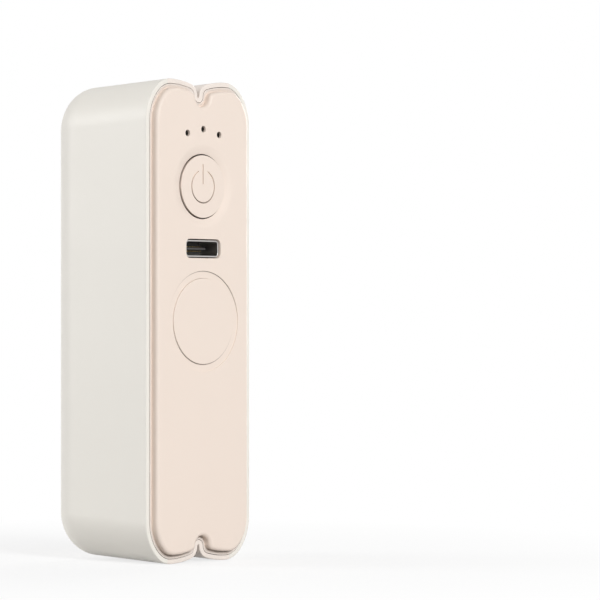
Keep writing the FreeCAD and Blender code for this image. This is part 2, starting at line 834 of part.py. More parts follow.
def lining(start_inset, end_inset, front, low_z, high_z, margin):
    """Sheet bent to the right cover's inside, flat along its side and round its back lobe."""
    centre = (half_width - corner_radius, back_y - corner_drop)
    crest = (crest_x, back_y - crest_radius)
    end_angle = quarter - margin / crest_radius

    def point(middle, radius, angle):
        return V(middle[0] + radius * math.cos(angle), middle[1] + radius * math.sin(angle), low_z)

    def bend(middle, radius, start, end):
        return Part.Arc(*[point(middle, radius, a) for a in (start, (start + end) / 2, end)]).toShape()

    edges = []
    ends = []
    for inset in (start_inset, end_inset):
        side = V(half_width - inset, front, low_z)
        edges.append(Part.makeLine(side, point(centre, corner_radius - inset, 0)))
        edges.append(bend(centre, corner_radius - inset, 0, corner_join))
        edges.append(bend(crest, crest_radius - inset, corner_join, end_angle))
        ends.append((side, point(crest, crest_radius - inset, end_angle)))
    edges += [Part.makeLine(ends[0][0], ends[1][0]), Part.makeLine(ends[0][1], ends[1][1])]
    return closed_face(edges).extrude(V(0, 0, high_z - low_z))


def heat_plate():
    front = rim_y + plate_setback
    end_inset = plate_inset + plate_thickness
    return lining(plate_inset, end_inset, front, plate_low_z, plate_high_z, plate_back_margin)


def heater_film():
    front = rim_y + plate_setback + film_margin
    low_z = plate_low_z + film_margin
    high_z = plate_high_z - film_margin
    end_inset = film_inset + film_thickness
    return lining(film_inset, end_inset, front, low_z, high_z, plate_back_margin + film_margin)


def wire(points, radius, bend):
    """Eight-sided wire along straight runs joined by quarter bends."""
    edges = []
    start = points[0]
    for before, corner, after in zip(points, points[1:], points[2:]):
        inward = (before - corner).normalize()
        outward = (after - corner).normalize()
        first = corner + inward * bend
        last = corner + outward * bend
        middle = corner + (inward + outward) * bend - (inward + outward).normalize() * bend
        edges.append(Part.makeLine(start, first))
        edges.append(Part.Arc(first, middle, last).toShape())
        start = last
    edges.append(Part.makeLine(start, points[-1]))
    path = Part.Wire(edges)
    round_edge = Part.makeCircle(radius, points[0], points[1] - points[0])
    corners = round_edge.discretize(wire_sides + 1)
    section = Part.makePolygon(corners[:-1] + corners[:1])
    return path.makePipeShell([section], True, False)


def battery_leads():
    """Two wires from the cell's protection board, forward and up to the main board."""
    turn_front_y = board_back_y + battery_lead_bend + battery_lead_straight
    low_z = guard_high_z + battery_lead_radius
    high_z = low_z + 2 * battery_lead_bend + battery_lead_straight
    leads = []
    for x in (-battery_lead_x, battery_lead_x):
        corners = [(cell_middle_y, low_z), (turn_front_y, low_z)]
        corners += [(turn_front_y, high_z), (board_back_y, high_z)]
        route = [V(x, y, z) for y, z in corners]
        leads.append(wire(route, battery_lead_radius, battery_lead_bend))
    return Part.makeCompound(leads)


def side_lead(z, radius, start_x):
    """Wire from a heater film inward and then forward to the back of the board, on the right side."""
    places = [(start_x, side_lead_y), (heater_pad_x, side_lead_y), (heater_pad_x, board_back_y)]
    return wire([V(x, y, z) for x, y in places], radius, heater_lead_bend)


def heater_leads():
    first_z = plate_high_z - heater_lead_below
    places = (first_z, first_z - heater_lead_pitch)
    return Part.makeCompound([side_lead(z, heater_lead_radius, lining_face_x) for z in places])


def heat_sensor():
    """Bead on the left heater film with its two thin wires."""
    z = magnet_z + sensor_above_magnet
    bead_x = lining_face_x - sensor_bead_radius
    bead_foot = V(bead_x, side_lead_y, z - sensor_bead_length / 2)
    bead = Part.makeCylinder(sensor_bead_radius, sensor_bead_length, bead_foot)
    places = (z - sensor_lead_pitch / 2, z + sensor_lead_pitch / 2)
    return mirror_x(bead.fuse([side_lead(place, sensor_lead_radius, bead_x) for place in places]))


shell = body_shell()
cover = right_cover(shell)
pieces = {
    "left_cover": mirror_x(cover),
    "right_cover": cover,
    "centre_band": centre_band(shell),
    "front_panel": front_panel(),
    "power_button": power_button(),
    "magnet_cover": magnet_cover(),
    "magnet": magnet(),
    "magnet_yoke": magnet_yoke(),
    "light_guide": light_guide(),
    "light_chips": light_chips(),
    "port_shell": port_shell(),
    "port_insulator": port_insulator(),
    "port_contacts": port_contacts(),
    "main_board": main_board(),
    "board_screws": board_screws(),
    "switch_body": switch_body(),
    "switch_plunger": switch_plunger(),
    "charger_chip": charger_chip(),
    "power_coil": power_coil(),
    "controller_chip": controller_chip(),
    "heater_drivers": heater_drivers(),
    "capacitors": capacitors(),
    "battery_tray": battery_tray(),
    "tray_screws": tray_screws(),
    "pouch_cell": pouch_cell(),
    "cell_guard": cell_guard(),
    "cell_pad": cell_pad(),
    "left_heat_plate": mirror_x(heat_plate()),
    "right_heat_plate": heat_plate(),
    "left_heater_film": mirror_x(heater_film()),
    "right_heater_film": heater_film(),
    "battery_leads": battery_leads(),
    "left_heater_leads": mirror_x(heater_leads()),
    "right_heater_leads": heater_leads(),
    "heat_sensor": heat_sensor(),
}

os.makedirs("parts", exist_ok=True)
for name, shape in pieces.items():
    shape.exportStep("parts/" + name + ".step")
    print(name, len(shape.Solids), round(shape.Volume, 2), shape.isValid())
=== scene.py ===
import json
import math

import bmesh
import bpy
from mathutils import Matrix, Vector


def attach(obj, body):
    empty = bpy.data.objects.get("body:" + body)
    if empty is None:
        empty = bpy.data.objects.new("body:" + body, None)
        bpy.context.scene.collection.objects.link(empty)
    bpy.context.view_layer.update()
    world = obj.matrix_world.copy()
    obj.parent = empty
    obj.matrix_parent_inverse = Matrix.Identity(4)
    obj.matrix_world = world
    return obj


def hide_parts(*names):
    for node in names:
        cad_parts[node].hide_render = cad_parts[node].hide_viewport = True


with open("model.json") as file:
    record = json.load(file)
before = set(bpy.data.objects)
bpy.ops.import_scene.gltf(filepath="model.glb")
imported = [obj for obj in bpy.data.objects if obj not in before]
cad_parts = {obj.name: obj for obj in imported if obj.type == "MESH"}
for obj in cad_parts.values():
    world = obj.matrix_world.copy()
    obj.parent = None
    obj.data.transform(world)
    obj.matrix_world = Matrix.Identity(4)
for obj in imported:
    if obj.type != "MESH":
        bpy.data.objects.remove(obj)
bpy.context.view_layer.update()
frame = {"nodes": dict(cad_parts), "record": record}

# Side covers: two white shells, flat outside, that wrap half over each lobe and meet the pink band.
# They are injection moulded in a hard plastic with a fine satin grain, 1.5 mm thick, and lap over
# the band's edges along two seams. A soft rounded rim closes them at the front.
MM = 0.001
body_height = 90.0
half_width = 14.0
middle_z = body_height / 2
face_y, rim_y, back_y = -14.125, -12.875, 14.125
flange_back_y = -11.575
shell_wall = 1.5
rim_width, rim_edge, rim_lip = 0.88, 0.26, 0.06
cover_seam_x = 8.44
end_taper = math.radians(2.25)
corner_radius, corner_join, corner_flat = 8.9, math.radians(47.5), 0.15
crest_radius, slope_radius = 5.5, 21.5
groove_drop, groove_shoulder, groove_half_gap = 3.0, 2.4, 0.25
corner_drop = crest_radius + (corner_radius - crest_radius) * math.sin(corner_join)
crest_x = half_width - corner_radius + (corner_radius - crest_radius) * math.cos(corner_join)
turn_radius = corner_drop + corner_flat


def lobe_arcs(inset, shoulder):
    """Arcs of the right upper lobe, from its flat side to the groove's foot.

    Each is centre x, centre z below the top, radius, start angle, end angle and which way is out.
    """
    foot_z, slope_z = -groove_drop, -slope_radius
    foot_radius = groove_half_gap + inset
    from_slope = slope_radius - inset - shoulder
    from_foot = foot_radius + shoulder
    apart = math.hypot(crest_x, foot_z - slope_z)
    along = (from_foot ** 2 - from_slope ** 2 + apart ** 2) / (2 * apart)
    aside = math.sqrt(from_foot ** 2 - along ** 2)
    toward_x, toward_z = crest_x / apart, (slope_z - foot_z) / apart
    shoulder_x = along * toward_x - aside * toward_z
    shoulder_z = foot_z + along * toward_z + aside * toward_x
    meet = math.atan2(shoulder_z - slope_z, shoulder_x - crest_x)
    part = math.atan2(shoulder_z - foot_z, shoulder_x)
    quarter = math.pi / 2
    return [
        (half_width - corner_radius, -corner_drop, corner_radius - inset, 0.0, corner_join, 1),
        (crest_x, -crest_radius, crest_radius - inset, corner_join, quarter, 1),
        (crest_x, slope_z, slope_radius - inset, quarter, meet, 1),
        (shoulder_x, shoulder_z, shoulder, meet, part + math.pi, 1),
        (0.0, foot_z, foot_radius, part, -quarter, -1),
    ]


def arc_rows(arcs, steps):
    """Points (x, z) with their outward direction along a run of arcs, shared ends once."""
    rows = []
    for (cx, cz, radius, start, end, out), count in zip(arcs, steps):
        for i in range(0 if not rows else 1, count + 1):
            angle = start + (end - start) * i / count
            c, s = math.cos(angle), math.sin(angle)
            rows.append((cx + radius * c, cz + radius * s, out * c, out * s))
    return rows


def bent(start, corner, end, steps):
    """Points of a soft corner between two straight parts of a profile."""
    points = []
    for i in range(steps + 1):
        t = i / steps
        points.append(tuple((1 - t) ** 2 * a + 2 * t * (1 - t) * b + t * t * c
                            for a, b, c in zip(start, corner, end)))
    return points


def shell_stations(wall):
    """Places along the sweep: from mid-back on the inside, over the rim and back on the outside.

    Each is y, z, the direction into the body and the inset from the outside.
    """
    tilt = math.tan(end_taper)
    turn_y = back_y - turn_radius
    run = (turn_y - rim_y + turn_radius * math.sin(end_taper)) / math.cos(end_taper)
    turn_z = body_height - run * math.sin(end_taper) - turn_radius * math.cos(end_taper)
    run_steps, turn_steps = 8, 28

    def at_front(y, inset):
        return (y, body_height - (y - rim_y) * tilt, 0.0, -1.0, inset)

    def sweep(start_y, inset):
        rows = [at_front(start_y, inset)]
        for i in range(1, run_steps):
            a = (start_y - rim_y) + (run - (start_y - rim_y)) * i / run_steps
            rows.append((rim_y + a * math.cos(end_taper), body_height - a * math.sin(end_taper),
                         -math.sin(end_taper), -math.cos(end_taper), inset))
        for i in range(turn_steps + 1):
            angle = end_taper + (math.pi / 2 - end_taper) * i / turn_steps
            s, c = math.sin(angle), math.cos(angle)
            rows.append((turn_y + turn_radius * s, turn_z + turn_radius * c, -s, -c, inset))
        rows.append((back_y, middle_z, -1.0, 0.0, inset))
        return rows

    rim = [(flange_back_y, rim_width)]
    rim += bent((rim_y + rim_lip, rim_width), (rim_y, rim_width), (rim_y, rim_width - rim_lip),
                steps=4)
    rim += bent((rim_y, rim_edge), (rim_y, 0.0), (rim_y + rim_edge, 0.0), steps=9)[:-1]
    rim = [at_front(*row) for row in rim]
    return sweep(flange_back_y, wall)[::-1] + rim + sweep(rim_y + rim_edge, 0.0)


def node_maths(tree):
    """Function that adds a sum on sockets and plain numbers to a node tree and gives its result."""

    def add_sum(operation, *values):
        node = tree.nodes.new("ShaderNodeMath")
        node.operation = operation
        for place, value in zip(node.inputs, values):
            if isinstance(value, (int, float)):
                place.default_value = value
            else:
                tree.links.new(value, place)
        return node.outputs[0]

    return add_sum


def lobed_shell_tree():
    """Node tree that carries an outline along stations and mirrors the result to the foot.

    The mesh it gets holds the outline's points first and the stations after them. The attribute
    lean is the outward direction of a point or the inward one of a station. The attribute measure
    is a station's inset, and on the outline it draws the point to the middle height.
    """
    tree = bpy.data.node_groups.new("lobed_shell", "GeometryNodeTree")
    socket = tree.interface.new_socket
    socket("Geometry", in_out="INPUT", socket_type="NodeSocketGeometry")
    for name, kind in (("Outline Points", "Int"), ("Stations", "Int"), ("Middle Height", "Float"),
                       ("Finish", "Material")):
        socket(name, in_out="INPUT", socket_type="NodeSocket" + kind)
    socket("Geometry", in_out="OUTPUT", socket_type="NodeSocketGeometry")
    nodes, link, maths = tree.nodes, tree.links.new, node_maths(tree)
    given = nodes.new("NodeGroupInput").outputs
    result = nodes.new("NodeGroupOutput").inputs
    weld_reach = 0.002 * MM

    def vector_node(operation, *values):
        node = nodes.new("ShaderNodeVectorMath")
        node.operation = operation
        for value, place in zip(values, node.inputs):
            link(value, place)
        return node.outputs[0]

    def read(attribute, kind, index):
        sample = nodes.new("GeometryNodeSampleIndex")
        sample.data_type = kind
        link(given["Geometry"], sample.inputs["Geometry"])
        if attribute == "position":
            value = nodes.new("GeometryNodeInputPosition").outputs[0]
        else:
            named = nodes.new("GeometryNodeInputNamedAttribute")
            named.data_type = kind
            named.inputs["Name"].default_value = attribute
            value = named.outputs[0]
        link(value, sample.inputs["Value"])
        link(index, sample.inputs["Index"])
        return sample.outputs[0]

    grid = nodes.new("GeometryNodeMeshGrid")
    link(given["Outline Points"], grid.inputs["Vertices X"])
    link(given["Stations"], grid.inputs["Vertices Y"])
    index = nodes.new("GeometryNodeInputIndex").outputs[0]
    point = maths("FLOOR", maths("DIVIDE", maths("ADD", index, 0.5), given["Stations"]))
    station = maths("SUBTRACT", index, maths("MULTIPLY", point, given["Stations"]))
    station = maths("ADD", station, given["Outline Points"])
    inset = read("measure", "FLOAT", station)
    back = vector_node("SCALE", read("lean", "FLOAT_VECTOR", point))
    link(inset, back.node.inputs["Scale"])
    outline = vector_node("SUBTRACT", read("position", "FLOAT_VECTOR", point), back)
    parts = nodes.new("ShaderNodeSeparateXYZ")
    link(outline, parts.inputs[0])
    down = vector_node("SCALE", read("lean", "FLOAT_VECTOR", station))
    link(maths("MULTIPLY", parts.outputs["Z"], -1), down.node.inputs["Scale"])
    across = nodes.new("ShaderNodeCombineXYZ")
    link(parts.outputs["X"], across.inputs["X"])
    place = vector_node("ADD", vector_node("ADD", read("position", "FLOAT_VECTOR", station), down),
                        across.outputs[0])
    split = nodes.new("ShaderNodeSeparateXYZ")
    link(place, split.inputs[0])
    pull = maths("SUBTRACT", given["Middle Height"], split.outputs["Z"])
    drawn = maths("MULTIPLY", pull, read("measure", "FLOAT", point))
    height = maths("ADD", split.outputs["Z"], drawn)
    joined = nodes.new("ShaderNodeCombineXYZ")
    for axis, value in (("X", split.outputs["X"]), ("Y", split.outputs["Y"]), ("Z", height)):
        link(value, joined.inputs[axis])
    shape = nodes.new("GeometryNodeSetPosition")
    link(grid.outputs["Mesh"], shape.inputs["Geometry"])
    link(joined.outputs[0], shape.inputs["Position"])

    foot = nodes.new("GeometryNodeTransform")
    link(shape.outputs[0], foot.inputs["Geometry"])
    foot.inputs["Scale"].default_value = (1, 1, -1)
    lift = nodes.new("ShaderNodeCombineXYZ")
    link(maths("MULTIPLY", given["Middle Height"], 2), lift.inputs["Z"])
    link(lift.outputs[0], foot.inputs["Translation"])
    flip = nodes.new("GeometryNodeFlipFaces")
    link(foot.outputs[0], flip.inputs[0])
    both = nodes.new("GeometryNodeJoinGeometry")
    link(shape.outputs[0], both.inputs[0])
    link(flip.outputs[0], both.inputs[0])
    merge = nodes.new("GeometryNodeMergeByDistance")
    link(both.outputs[0], merge.inputs["Geometry"])
    merge.inputs["Distance"].default_value = weld_reach
    real = nodes.new("GeometryNodeRealizeInstances")
    link(merge.outputs[0], real.inputs[0])
    finish = nodes.new("GeometryNodeSetMaterial")
    link(real.outputs[0], finish.inputs["Geometry"])
    link(given["Finish"], finish.inputs["Material"])
    link(finish.outputs[0], result["Geometry"])
    return tree


def add_object(name, mesh):
    piece = bpy.data.objects.new(name, mesh)
    bpy.context.scene.collection.objects.link(piece)
    return piece


def made_plain(piece):
    """Turns what the piece's modifiers give into its own mesh and removes them."""
    bpy.context.view_layer.update()
    evaluated = piece.evaluated_get(bpy.context.evaluated_depsgraph_get())
    mesh = bpy.data.meshes.new_from_object(evaluated)
    mesh.name = piece.name
    piece.modifiers.clear()
    piece.data = mesh
    return piece


def set_input(modifier, name, value):
    for item in modifier.node_group.interface.items_tree:
        if item.item_type == "SOCKET" and item.in_out == "INPUT" and item.name == name:
            modifier[item.identifier] = value


def softly_shaded(piece, crease=28.0):
    """Smooth shading with sharp creases, and flats that stay flat beside their rounded edges."""
    mesh = piece.data
    mesh.shade_smooth()
    mesh.set_sharp_from_angle(angle=math.radians(crease))
    even = piece.modifiers.new("even_shading", "WEIGHTED_NORMAL")
    even.keep_sharp = True
    return piece


def bridge(work, rings, finish=0):
    """Quads between rings with the same number of points, in the mesh's finish of that number."""
    for one, two in zip(rings, rings[1:]):
        count = len(one)
        for i in range(count):
            face = work.faces.new((one[i], one[(i + 1) % count], two[(i + 1) % count], two[i]))
            face.material_index = finish


def close_form(work, rings):
    """Quads between rings, with a flat face over the first and the last."""
    bridge(work, rings)
    work.faces.new(rings[0])
    work.faces.new(rings[-1])


def add_closed(work, rings):
    """Closed form through rings of points that are not in the mesh yet."""
    close_form(work, [[work.verts.new(point) for point in ring] for ring in rings])


def upright_bar(profile, z, width):
    """Rings of a bar with an (x, y) profile, half of its width below the height z, half above."""
    return [[(x, y, level) for x, y in profile] for level in (z - width / 2, z + width / 2)]


shell_tree = lobed_shell_tree()


def lobed_shell(name, outline, wall, material, fittings):
    """Closed shell from outline rows, with the closed fittings that stand inside it.

    A row is x, z, the x and z of its outward direction and how far it is drawn to the middle.
    """
    stations = shell_stations(wall)
    mesh = bpy.data.meshes.new(name)
    points = [(x * MM, 0, z * MM) for x, z, *_ in outline]
    points += [(0, y * MM, z * MM) for y, z, *_ in stations]
    leans = [(ox, 0, oz) for _, _, ox, oz, _ in outline]
    leans += [(0, dy, dz) for _, _, dy, dz, _ in stations]
    measures = [row[4] for row in outline] + [row[4] * MM for row in stations]
    mesh.from_pydata(points, [], [])
    lean = mesh.attributes.new("lean", "FLOAT_VECTOR", "POINT")
    lean.data.foreach_set("vector", [value for row in leans for value in row])
    measure = mesh.attributes.new("measure", "FLOAT", "POINT")
    measure.data.foreach_set("value", measures)
    piece = add_object(name, mesh)
    sweep = piece.modifiers.new("sweep", "NODES")
    sweep.node_group = shell_tree
    set_input(sweep, "Outline Points", len(outline))
    set_input(sweep, "Stations", len(stations))
    set_input(sweep, "Middle Height", middle_z * MM)
    set_input(sweep, "Finish", material)
    made_plain(piece)
    work = bmesh.new()
    work.from_mesh(piece.data)
    open_edges = [edge for edge in work.edges if edge.is_boundary]
    bmesh.ops.holes_fill(work, edges=open_edges, sides=0)
    bmesh.ops.triangulate(work, faces=[face for face in work.faces if len(face.verts) > 4])
    for rings in fittings:
        add_closed(work, [[Vector(point) * MM for point in ring] for ring in rings])
    bmesh.ops.recalc_face_normals(work, faces=work.faces)
    work.to_mesh(piece.data)
    work.free()
    return softly_shaded(piece)


def satin_moulding_group():
    """Fine grain of a satin moulding: a faint drift of colour, uneven gloss and a low grain.

    A mesh attribute, where a mesh has it, paints shade into the colour: it darkens joints and edges
    where shade falls.
    """
    group = bpy.data.node_groups.new("satin_moulding", "ShaderNodeTree")
    socket = group.interface.new_socket
    for name, kind, value in (("Colour", "Color", (1, 1, 1, 1)), ("Drift", "Float", 0.02),
                              ("Gloss Low", "Float", 0.4), ("Gloss High", "Float", 0.5),
                              ("Grain Size", "Float", 9000.0)):
        socket(name, in_out="INPUT", socket_type="NodeSocket" + kind).default_value = value
    for name, kind in (("Colour", "Color"), ("Roughness", "Float"), ("Height", "Float")):
        socket(name, in_out="OUTPUT", socket_type="NodeSocket" + kind)
    nodes, link = group.nodes, group.links.new
    given = nodes.new("NodeGroupInput").outputs
    result = nodes.new("NodeGroupOutput").inputs
    # The second tint is painted shade, for joints and edges where shade falls.
    drift_tint, painted_shade_tint = (0.5, 0.45, 0.4), (0.16, 0.12, 0.09)

    def tinted(colour, share, tint):
        mix = nodes.new("ShaderNodeMix")
        mix.data_type = "RGBA"
        mix.blend_type = "MULTIPLY"
        link(share, mix.inputs["Factor"])
        link(colour, mix.inputs["A"])
        mix.inputs["B"].default_value = (*tint, 1)
        return mix.outputs["Result"]

    where = nodes.new("ShaderNodeTexCoord").outputs["Object"]
    cloud = nodes.new("ShaderNodeTexNoise")
    cloud.inputs["Scale"].default_value = 60.0
    cloud.inputs["Detail"].default_value = 3.0
    link(where, cloud.inputs["Vector"])
    grain = nodes.new("ShaderNodeTexNoise")
    grain.inputs["Detail"].default_value = 2.0
    link(where, grain.inputs["Vector"])
    link(given["Grain Size"], grain.inputs["Scale"])
    amount = node_maths(group)("MULTIPLY", cloud.outputs["Fac"], given["Drift"])
    drifted = tinted(given["Colour"], amount, drift_tint)
    gloss = nodes.new("ShaderNodeMapRange")
    link(cloud.outputs["Fac"], gloss.inputs["Value"])
    link(given["Gloss Low"], gloss.inputs["To Min"])
    link(given["Gloss High"], gloss.inputs["To Max"])
    # Painted shade: the mesh attribute darkens the colour toward the dark tint where shade falls.
    painted_shade = nodes.new("ShaderNodeAttribute")
    painted_shade.attribute_name = "painted_shade"
    link(tinted(drifted, painted_shade.outputs["Fac"], painted_shade_tint), result["Colour"])
    link(gloss.outputs["Result"], result["Roughness"])
    link(grain.outputs["Fac"], result["Height"])
    return group


moulding_group = satin_moulding_group()


def new_material(name, colour):
    """Material with its nodes and what links them."""
    material = bpy.data.materials.new(name)
    material.use_nodes = True
    material.diffuse_color = (*colour, 1)
    return material, material.node_tree.nodes, material.node_tree.links.new


def moulded_plastic(name, colour, drift=0.02, gloss=(0.42, 0.5), grain=9000.0, relief=0.003,
                    shine=0.4):
    """Satin moulding with a range of gloss and a grain whose relief is in millimetres."""
    material, nodes, link = new_material(name, colour)
    shader = nodes["Principled BSDF"]
    shader.inputs["Specular IOR Level"].default_value = shine
    surface = nodes.new("ShaderNodeGroup")
    surface.node_tree = moulding_group
    surface.inputs["Colour"].default_value = (*colour, 1)
    surface.inputs["Drift"].default_value = drift
    for label, value in zip(("Gloss Low", "Gloss High"), gloss):
        surface.inputs[label].default_value = value
    surface.inputs["Grain Size"].default_value = grain
    bump = nodes.new("ShaderNodeBump")
    bump.inputs["Strength"].default_value = 0.25
    bump.inputs["Distance"].default_value = relief * MM
    link(surface.outputs["Colour"], shader.inputs["Base Color"])
    link(surface.outputs["Roughness"], shader.inputs["Roughness"])
    link(surface.outputs["Height"], bump.inputs["Height"])
    link(bump.outputs["Normal"], shader.inputs["Normal"])
    return material


white_shell = moulded_plastic("white_shell", (0.83, 0.80, 0.74))
lobe = lobe_arcs(0.0, groove_shoulder)
crest = lobe[1]
cover_end = math.acos((cover_seam_x - crest_x) / crest_radius)
cover_steps = (26, 18)
cover_rows = arc_rows([lobe[0], crest[:4] + (cover_end, 1)], cover_steps)
cover_outline = [(*cover_rows[0], 1.0)] + [(*row, 0.0) for row in cover_rows]
snap_places, snap_width = (18.0, 45.0, 72.0), 5.0
catch_inner_x, catch_outer_x, catch_front_y, catch_back_y = 12.0, 13.25, -9.595, -8.595
catch_bar = ((catch_inner_x, catch_front_y), (catch_outer_x, catch_front_y),
             (catch_outer_x, catch_back_y), (catch_inner_x, catch_back_y))
for side, name in ((1, "right_cover"), (-1, "left_cover")):
    outline = [(side * x, z, side * ox, oz, drawn) for x, z, ox, oz, drawn in cover_outline]
    catch = [(side * x, y) for x, y in catch_bar]
    catches = [upright_bar(catch, z, snap_width) for z in snap_places]
    cover = lobed_shell(name + "_shell", outline, shell_wall, white_shell, catches)
    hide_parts(name)
    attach(cover, "case")

# Centre band: the blush pink strip between the covers, which runs over the top, down the back and
# under the foot, with the deep soft groove that parts the two lobes. It is moulded in one piece in
# the same satin plastic, and its edges are lapped by the covers.
band_seam_x = 8.42
band_steps = (6, 26, 26, 10)
tray_boss_places, tray_boss_turns = (24.75, 63.75), 32
tray_boss_radius, tray_pilot_radius = 1.9, 0.7
tray_boss_root_y, tray_boss_top_y, tray_pilot_end_y = 10.3, 8.575, 10.2


def turn_angles(count):
    """Angles of a full turn in equal steps."""
    return [2 * math.pi * i / count for i in range(count)]


blush_band = moulded_plastic("blush_band", (0.84, 0.765, 0.705))
band_start = math.acos((band_seam_x - crest_x) / crest_radius)
half_rows = arc_rows([crest[:3] + (band_start, math.pi / 2, 1)] + lobe[2:], band_steps)
left_rows = [(-x, z, -ox, oz) for x, z, ox, oz in half_rows[:-1]]
band_outline = [(*row, 0.0) for row in half_rows + left_rows[::-1]]
tray_boss = ((tray_boss_radius, tray_boss_root_y), (tray_boss_radius, tray_boss_top_y),
             (tray_pilot_radius, tray_boss_top_y), (tray_pilot_radius, tray_pilot_end_y))
tray_bosses = []
for z in tray_boss_places:
    tray_bosses.append([[(radius * math.cos(t), y, z + radius * math.sin(t))
                         for t in turn_angles(tray_boss_turns)] for radius, y in tray_boss])
band = lobed_shell("centre_band_shell", band_outline, shell_wall, blush_band, tray_bosses)
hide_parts("centre_band")
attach(band, "case")

# Front panel: one blush moulding with a flange that sits in the rim and a raised flat plateau with
# softly rounded edges. It carries the dish and collar of the button, three light holes, the opening
# of the charging port and the cup of the magnet, and it snaps into the covers by hooks behind.
panel_inset, flange_lip_inset, plateau_inset = 0.98, 1.14, 1.71
plateau_shoulder, plateau_edge, plateau_end_trim = 1.2, 0.7, 0.02
foot_drop, panel_skin, pocket_inset = 0.3, 1.5, 3.21
foot_y = rim_y + foot_drop
pocket_y = face_y + panel_skin
button_z, port_z, magnet_z = 70.14, 58.56, 45.0
light_places = ((-4.252, 79.953), (0.0, 80.83), (4.252, 79.953))
lobe_steps, plateau_steps = (20, 14, 18, 18, 10), 12
button_turns, disc_turns, hole_turns, boss_turns = 128, 144, 40, 40
blush_shell = moulded_plastic("blush_shell", (0.85, 0.735, 0.65))


def outline_ring(work, inset, shoulder, y, end_trim=0.0):
    """Closed ring of the body's front outline, inset from the outside and drawn in at both ends."""
    upper = arc_rows(lobe_arcs(inset, shoulder), lobe_steps)
    right = [(x, body_height - end_trim + z) for x, z, *_ in upper]
    top = right + [(-x, z) for x, z in right[-2::-1]]
    loop = top + [(x, body_height - z) for x, z in top[::-1]]
    return [work.verts.new((x, y, z)) for x, z in loop]


def round_ring(work, x, z, radius, y, count):
    """Ring round a line along the depth."""
    return [work.verts.new((x + radius * math.cos(t), y, z + radius * math.sin(t)))
            for t in turn_angles(count)]


def slot_ring(work, width, height, radius, x, z, y, corner_steps=10):
    """Ring of a rectangle with round corners, across the depth."""
    points = []
    for turn, (sx, sz) in enumerate(((1, 1), (-1, 1), (-1, -1), (1, -1))):
        for i in range(corner_steps + 1):
            angle = math.pi / 2 * (turn + i / corner_steps)
            points.append((x + sx * (width / 2 - radius) + radius * math.cos(angle),
                           z + sz * (height / 2 - radius) + radius * math.sin(angle)))
    return [work.verts.new((px, y, pz)) for px, pz in points]


def port_rings(work, profile):
    """Rings round the charging port, from rows of growth past its shell and depth."""
    return [slot_ring(work, port_width + 2 * grow, port_height + 2 * grow, port_corner + grow,
                      0, port_z, face_y + depth) for grow, depth in profile]


def flat_fill(work, rings):
    """Flat face bounded by its first ring, with the other rings as holes."""
    edges = []
    for ring in rings:
        for i, vert in enumerate(ring):
            following = ring[(i + 1) % len(ring)]
            edges.append(work.edges.get((vert, following)) or work.edges.new((vert, following)))
    bmesh.ops.triangle_fill(work, use_beauty=True, use_dissolve=False, edges=edges)


def turned_rings(work, x, z, profile, count):
    """Rings round a line along the depth, from rows of radius and depth below the face."""
    return [round_ring(work, x, z, radius, face_y + depth, count) for radius, depth in profile]


def paint_shade(work, rings, values, shares):
    """Paints shade on rings, by a value for each ring and a share for each point."""
    layer = work.verts.layers.float.get("painted_shade")
    for ring, value in zip(rings, values):
        for vert, share in zip(ring, shares):
            vert[layer] = value * share


def low_shares(inner, outer, least):
    """Share of painted shade at each point: whole under the inner ring, the least elsewhere."""
    shares = []
    for one, two in zip(inner, outer):
        x, z = one.co.x - two.co.x, one.co.z - two.co.z
        shares.append(least + (1 - least) * max(0.0, z / math.hypot(x, z)))
    return shares


def half_shares(count, way):
    """Share of painted shade at each point of a ring: whole at its top for way 1, at its foot for
    -1.
    """
    return [max(0.0, way * math.sin(t)) for t in turn_angles(count)]


def metre_mesh(work, name):
    """Mesh in metres, faces outwards, from a working mesh in millimetres."""
    bmesh.ops.recalc_face_normals(work, faces=work.faces)
    bmesh.ops.scale(work, vec=(MM, MM, MM), verts=work.verts)
    mesh = bpy.data.meshes.new(name)
    work.to_mesh(mesh)
    work.free()
    return mesh


def finished(work, name, *materials):
    """Mesh piece with its materials from a working mesh in millimetres."""
    mesh = metre_mesh(work, name)
    for material in materials:
        mesh.materials.append(material)
    return softly_shaded(add_object(name, mesh))


work = bmesh.new()
work.verts.layers.float.new("painted_shade")
plateau = []
for i in range(plateau_steps + 1):
    angle = math.pi / 2 * i / plateau_steps
    grow = plateau_edge * (1 - math.cos(angle))
    plateau.append(outline_ring(work, plateau_inset + grow, plateau_shoulder - grow,
                                face_y + plateau_edge * (1 - math.sin(angle)), plateau_end_trim))
flange_edge, foot_fillet, pocket_shoulder = 0.04, 0.06, 0.3
flange = [(panel_inset, flange_back_y)]
flange += bent((panel_inset, rim_y + flange_edge), (panel_inset, rim_y),
               (panel_inset + flange_edge, rim_y), steps=3)
flange += [(flange_lip_inset, rim_y)]
flange = [outline_ring(work, inset, groove_shoulder - inset, y) for inset, y in flange]
foot = bent((plateau_inset - foot_fillet, plateau_shoulder + foot_fillet, foot_y),
            (plateau_inset, plateau_shoulder, foot_y),
            (plateau_inset, plateau_shoulder, foot_y - foot_fillet), steps=3)
foot = [outline_ring(work, *row, plateau_end_trim) for row in foot]
pocket_rim = outline_ring(work, pocket_inset, pocket_shoulder, pocket_y, plateau_end_trim)
pocket_foot = outline_ring(work, pocket_inset, pocket_shoulder, flange_back_y, plateau_end_trim)
bridge(work, [pocket_rim, pocket_foot, flange[0]])
# The flange lies deep beside the white rim; its faces take the band's paler pink as painted light
# against warm bounce light there.
bridge(work, flange + foot[:1], finish=1)
bridge(work, foot + plateau)
